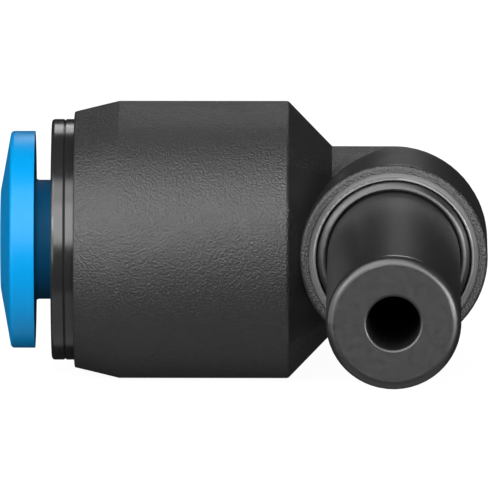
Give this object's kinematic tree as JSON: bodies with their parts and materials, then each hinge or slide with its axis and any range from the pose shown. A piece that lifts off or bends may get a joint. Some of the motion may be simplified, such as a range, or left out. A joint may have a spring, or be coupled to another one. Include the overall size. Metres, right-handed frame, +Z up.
{
  "type": "push to connect fitting",
  "caption": "Black elbow push-in fitting: blue release ring and tube socket on one side, long smooth plug-in stem that swivels on the other.",
  "frame": {"origin": "on the stem's axis, at the collar's face where the stem leaves the housing", "axes": "-Y along the plug-in stem towards its tip, -X along the tube's axis out of the socket's mouth, +Z up, with both axes level"},
  "size_m": [0.0222, 0.0329, 0.0126],
  "materials": {
    "grained_black_pbt": "fine eroded grain, matt",
    "smooth_black_plastic": "smooth, semi-gloss",
    "satin_black_plastic": "smooth satin",
    "grey_plastic": "smooth, dark grey",
    "blue_pom": "smooth, semi-gloss",
    "natural_pom": "smooth",
    "seal_rubber": "matt rubber",
    "stainless_steel": "stamped stainless steel"
  },
  "bodies": {
    "housing": {"elbow_housing": "grained_black_pbt", "cartridge_sleeve": "smooth_black_plastic", "retaining_cap": "smooth_black_plastic", "seal_support_washer": "natural_pom", "tube_seal": "seal_rubber", "stem_retaining_bush": "grey_plastic"},
    "release": {"release_collet": "blue_pom", "grip_tooth_1": "stainless_steel", "grip_tooth_2": "stainless_steel", "grip_tooth_3": "stainless_steel", "grip_tooth_4": "stainless_steel", "grip_tooth_5": "stainless_steel", "grip_tooth_6": "stainless_steel", "grip_tooth_7": "stainless_steel", "grip_tooth_8": "stainless_steel"},
    "stem": {"plug_stem": "satin_black_plastic", "stem_seal": "seal_rubber"}
  },
  "joints": [
    {"name": "release_press", "type": "slide", "parent": "housing", "child": "release", "axis": [1, 0, 0], "range_m": [0, 0.00065], "stiffness_N_per_m": 150, "springref_m": -0.0005},
    {"name": "stem_swivel", "type": "hinge", "parent": "housing", "child": "stem", "pos_m": [0, 0, 0], "axis": [0, -1, 0], "continuous": true}
  ]
}
